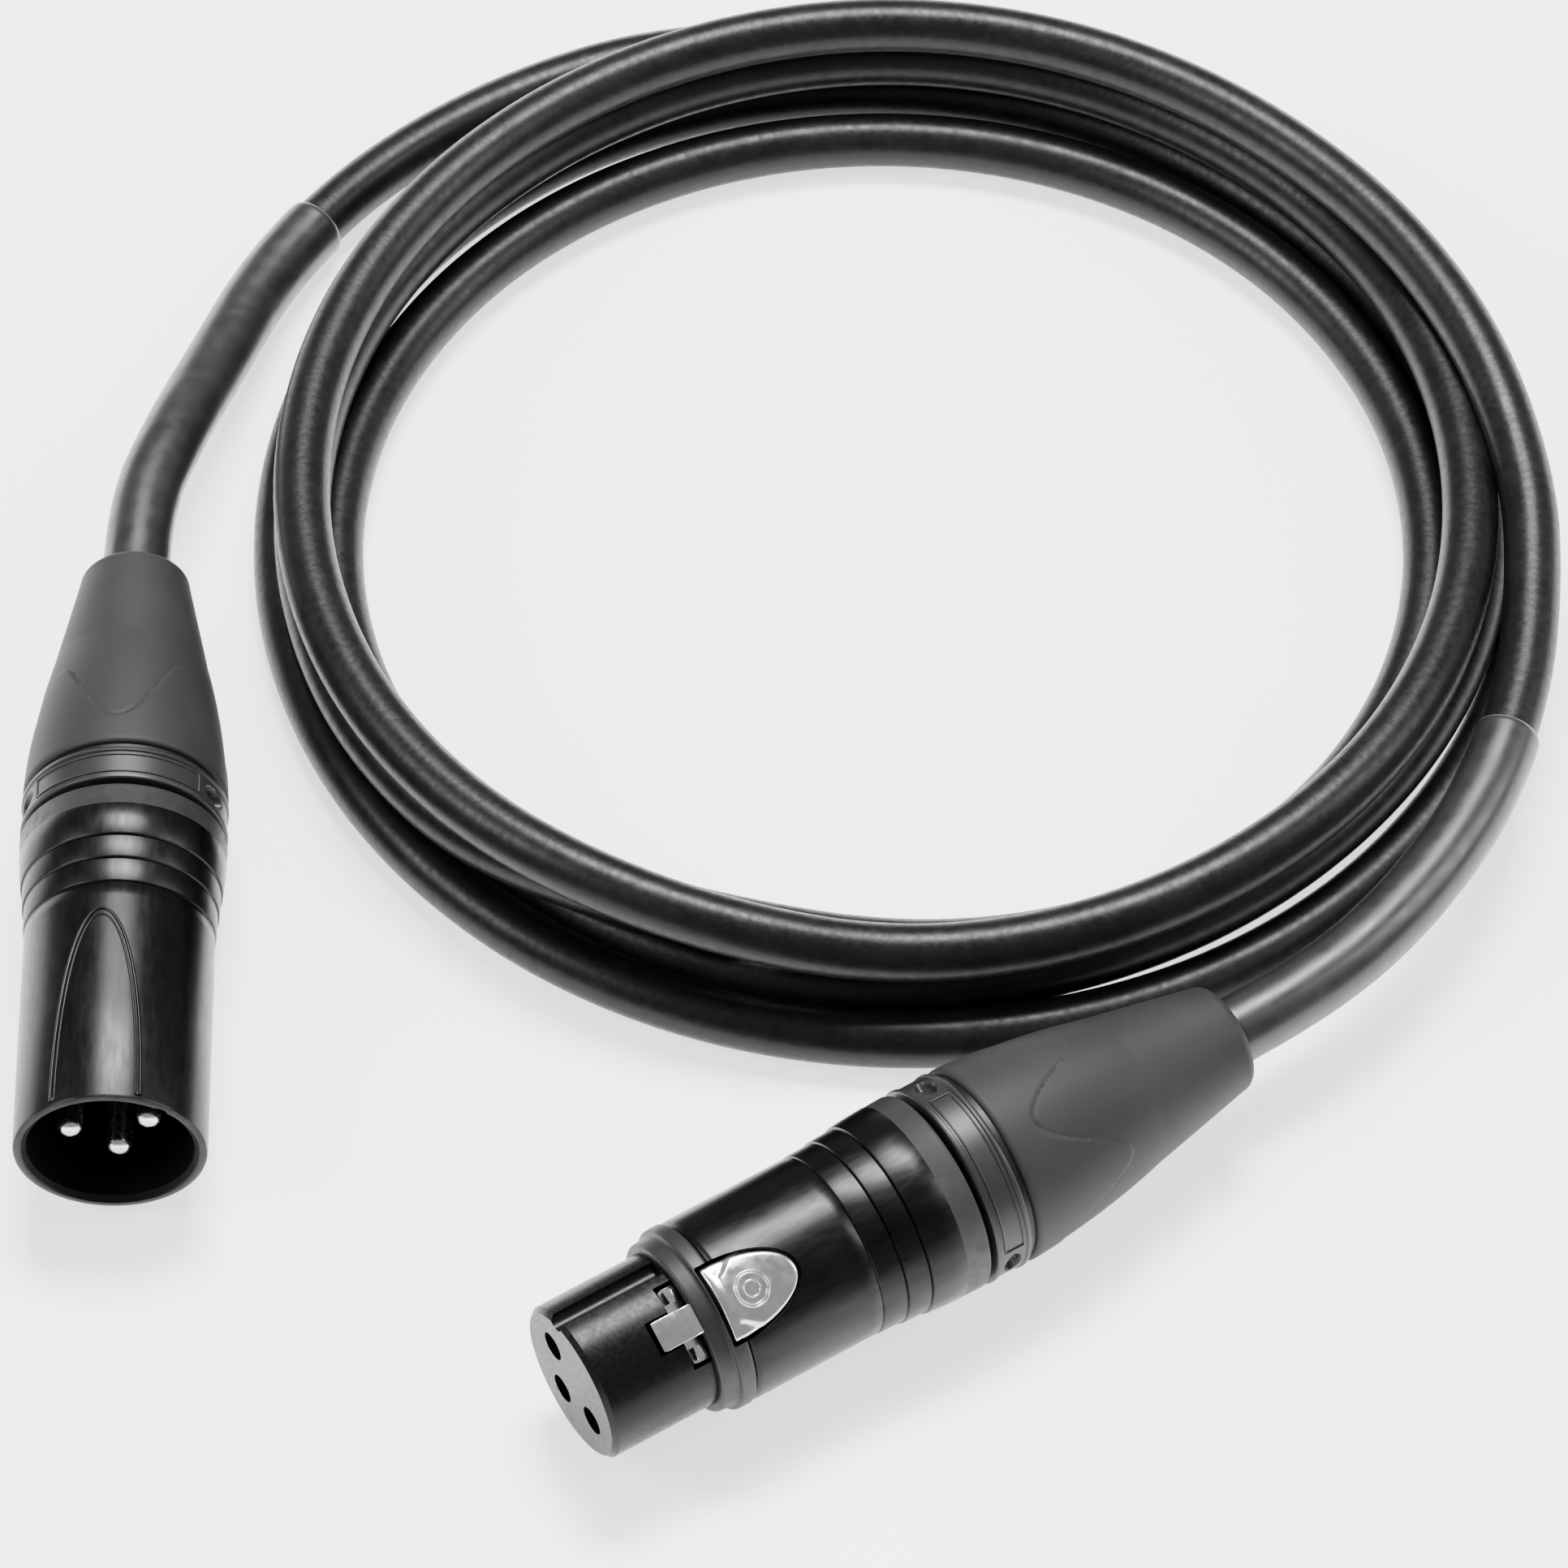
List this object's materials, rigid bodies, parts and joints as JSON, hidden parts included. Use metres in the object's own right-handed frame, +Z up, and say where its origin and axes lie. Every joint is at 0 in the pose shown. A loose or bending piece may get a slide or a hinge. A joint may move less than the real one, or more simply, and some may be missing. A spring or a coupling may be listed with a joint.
{
  "type": "balanced audio cable",
  "caption": "Loosely coiled black microphone cable with a male and a female three-pole connector, screwed boots, coding rings and a sprung release latch.",
  "frame": {"origin": "on the floor under the middle of the two connectors' box", "axes": "+Z up from the floor, +Y from the male connector's rim towards its cord, +X to the right"},
  "size_m": [0.159, 0.1929, 0.0209],
  "materials": {
    "shell": "black chrome plated die-cast shell",
    "coding_ring": "black semi-gloss ring",
    "insert": "black satin contact insert",
    "contact": "silver plated contacts",
    "latch": "bright plated latch",
    "spring_steel": "plain spring steel",
    "gasket": "black rubber gasket",
    "bushing": "black glass-filled plastic",
    "boot": "dark grey matt rubber",
    "clamp": "pale plastic cord clamp",
    "label_sleeve": "dark heat-shrunk sleeve",
    "jacket": "satin black flexible jacket",
    "shield": "twisted shield strands",
    "core_hot": "red insulation",
    "core_cold": "blue insulation"
  },
  "bodies": {
    "cable": {"male_shell": "shell", "female_shell": "shell", "male_insert": "insert", "female_insert": "insert", "male_pin_1": "contact", "male_pin_2": "contact", "male_pin_3": "contact", "female_socket_1": "contact", "female_socket_2": "contact", "female_socket_3": "contact", "female_latch_pivot": "spring_steel", "female_latch_spring": "spring_steel", "male_ground_clip": "spring_steel", "female_ground_clip": "spring_steel", "female_gasket": "gasket", "male_cord_clamp": "clamp", "female_cord_clamp": "clamp", "male_label_sleeve": "label_sleeve", "female_label_sleeve": "label_sleeve", "male_lead_cord": "jacket", "female_lead_cord": "jacket", "cable_coil": "jacket", "male_jacket_end": "jacket", "female_jacket_end": "jacket", "male_shield_tail": "shield", "female_shield_tail": "shield", "male_hot_core": "core_hot", "female_hot_core": "core_hot", "male_cold_core": "core_cold", "female_cold_core": "core_cold"},
    "male_ring": {"male_coding_ring": "coding_ring"},
    "male_bushing": {"male_bushing": "bushing", "male_boot": "boot"},
    "female_ring": {"female_coding_ring": "coding_ring"},
    "female_bushing": {"female_bushing": "bushing", "female_boot": "boot"},
    "latch": {"female_latch": "latch"}
  },
  "joints": [
    {"name": "male_bushing_travel", "type": "slide", "parent": "cable", "child": "male_ring", "axis": [-0.0264, 0.9997, 0], "range_m": [0, 0.005]},
    {"name": "male_bushing_turn", "type": "hinge", "parent": "male_ring", "child": "male_bushing", "pos_m": [-0.05112, 0.02298, 0.01045], "axis": [-0.0264, 0.9997, 0], "range_deg": [0, 1440]},
    {"name": "female_bushing_travel", "type": "slide", "parent": "cable", "child": "female_ring", "axis": [0.8434, 0.5373, 0], "range_m": [0, 0.005]},
    {"name": "female_bushing_turn", "type": "hinge", "parent": "female_ring", "child": "female_bushing", "pos_m": [0.03418, -0.02133, 0.01045], "axis": [0.8434, 0.5373, 0], "range_deg": [0, 1440]},
    {"name": "female_latch_press", "type": "hinge", "parent": "cable", "child": "latch", "pos_m": [0.0176, -0.0355, 0.01585], "axis": [0.4681, -0.7348, -0.4909], "range_deg": [0, 5], "stiffness_Nm_per_rad": 0.5}
  ],
  "couplings": [
    {"joint": "male_bushing_travel", "follows": "male_bushing_turn", "m_per_rad": 0.00019894},
    {"joint": "female_bushing_travel", "follows": "female_bushing_turn", "m_per_rad": 0.00019894}
  ]
}
